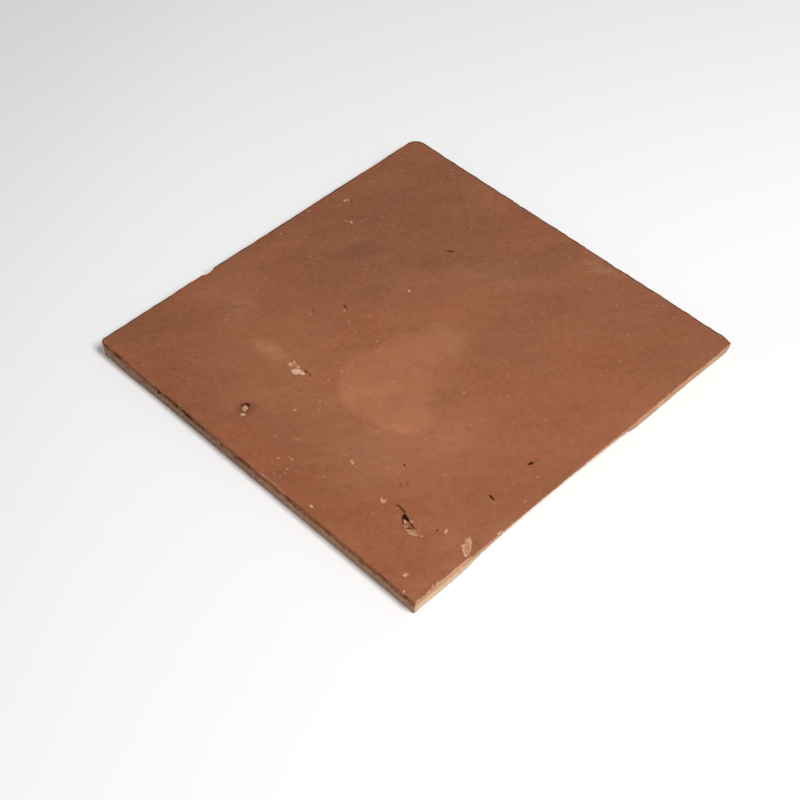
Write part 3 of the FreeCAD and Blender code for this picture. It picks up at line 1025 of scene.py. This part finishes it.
stageLight = {
    "floor": (0.885, 0.885, 0.885, 1),
    "floorShade": (0.74, 0.74, 0.74, 1),  # tone that the floor takes on towards the left and the back
    "floorLift": 0.075,  # share of white that the camera sees on top of the lit floor
    "farLift": 0.85,  # the same, far away from the tile
    "liftFrom": (0.7, 2),  # metres from the tile where it rises
    "leftShade": (-0.42, -0.18, 0.46, 0),  # from and to in metres, and the shares of shade there
    "backShade": (0.1, 0.5, 0, 0.24),
    "rightShade": (0.1, 0.36, 0, 0.3),
    "floorHalf": 6,
    "sky": 0.9,  # the world as the camera sees it
    "ambient": 0.28,
    "keyPower": 33,
    "keySize": (0.5, 0.9),  # metres across, and up
    "keyFrom": (0.05, -1.06, 1.65),  # metres from the tile's middle
}


def seenDirectly(tree):
    # 1 for what the camera, a reflection or glass sees, 0 for light on the object
    path = put(tree, "ShaderNodeLightPath", {})
    seen = sums(tree, "MAXIMUM", path.outputs["Is Camera Ray"], path.outputs["Is Glossy Ray"])
    return sums(tree, "MAXIMUM", seen, path.outputs["Is Transmission Ray"])


def buildStage():
    bm = bmesh.new()
    bmesh.ops.create_grid(bm, x_segments=8, y_segments=8, size=stageLight["floorHalf"])
    mesh = bpy.data.meshes.new("pale_floor")
    bm.to_mesh(mesh)
    bm.free()
    made, tree, surface, coords = newMaterial("paleFloor")
    turned = put(tree, "ShaderNodeMapping", {"Vector": coords, "Rotation": (0, 0, math.radians(45))})
    apart = put(tree, "ShaderNodeSeparateXYZ", {"Vector": turned.outputs["Vector"]})
    backwards = sums(tree, "MAXIMUM", apart.outputs["Y"], 0)
    leftwards = sums(tree, "SUBTRACT", apart.outputs["X"], times(tree, backwards, 0.2))
    shade = sums(tree, "ADD", remap(tree, leftwards, *stageLight["leftShade"]),
                 remap(tree, apart.outputs["Y"], *stageLight["backShade"]))
    rightwards = sums(tree, "SUBTRACT", apart.outputs["X"], backwards)
    shade = sums(tree, "ADD", shade, remap(tree, rightwards, *stageLight["rightShade"]))
    tone = blend(tree, shade, stageLight["floor"], stageLight["floorShade"])
    far = put(tree, "ShaderNodeVectorMath", {0: coords}, operation="LENGTH").outputs["Value"]
    lift = remap(tree, far, *stageLight["liftFrom"], stageLight["floorLift"], stageLight["farLift"])
    lift = times(tree, seenDirectly(tree), lift)
    glow = {"Emission Color": (1, 1, 1, 1), "Emission Strength": lift}
    feed(tree, surface, {"Base Color": tone, "Roughness": 0.9, **glow})
    mesh.materials.append(made)
    floor = addObject("pale_floor", mesh)

    lamp = bpy.data.lights.new("softKey", "AREA")
    lamp.energy = stageLight["keyPower"]
    lamp.shape = "RECTANGLE"
    lamp.size, lamp.size_y = stageLight["keySize"]
    key = addObject("softKey", lamp)
    key.location = stageLight["keyFrom"]
    key.rotation_euler = (-Vector(stageLight["keyFrom"])).to_track_quat("-Z", "Y").to_euler()

    world = bpy.data.worlds.new("paleRoom")
    bpy.context.scene.world = world
    world.use_nodes = True
    tree = world.node_tree
    strength = remap(tree, seenDirectly(tree), 0, 1, stageLight["ambient"], stageLight["sky"])
    feed(tree, tree.nodes["Background"], {"Color": (1, 1, 1, 1), "Strength": strength})


buildStage()
print("stage lit")

# Camera, found from the tile's own corners in the photograph
viewPoint = {
    "azimuth": -44.2,
    "elevation": 48.38,
    "roll": -0.47,
    "distance": 1.0623,
    "target": (-0.0444, -0.0303, 0.013),
    "lens": 73.94,
}


def buildCamera():
    azimuth, elevation, roll = [math.radians(viewPoint[name]) for name in ("azimuth", "elevation", "roll")]
    back = Vector((math.sin(azimuth) * math.cos(elevation), -math.cos(azimuth) * math.cos(elevation),
                   math.sin(elevation)))
    right = Vector((0, 0, 1)).cross(back).normalized()
    up = back.cross(right)
    sideways = right * math.cos(roll) + up * math.sin(roll)
    upright = up * math.cos(roll) - right * math.sin(roll)
    place = Vector(viewPoint["target"]) + back * viewPoint["distance"]
    lens = bpy.data.cameras.new("photoView")
    lens.lens = viewPoint["lens"]
    lens.sensor_width = 36
    lens.clip_start = 0.01
    eye = addObject("photoView", lens)
    eye.matrix_world = Matrix((sideways, upright, back)).transposed().to_4x4()
    eye.location = place
    bpy.context.scene.camera = eye


buildCamera()
bpy.context.scene.view_settings.view_transform = "Standard"
print("camera placed")
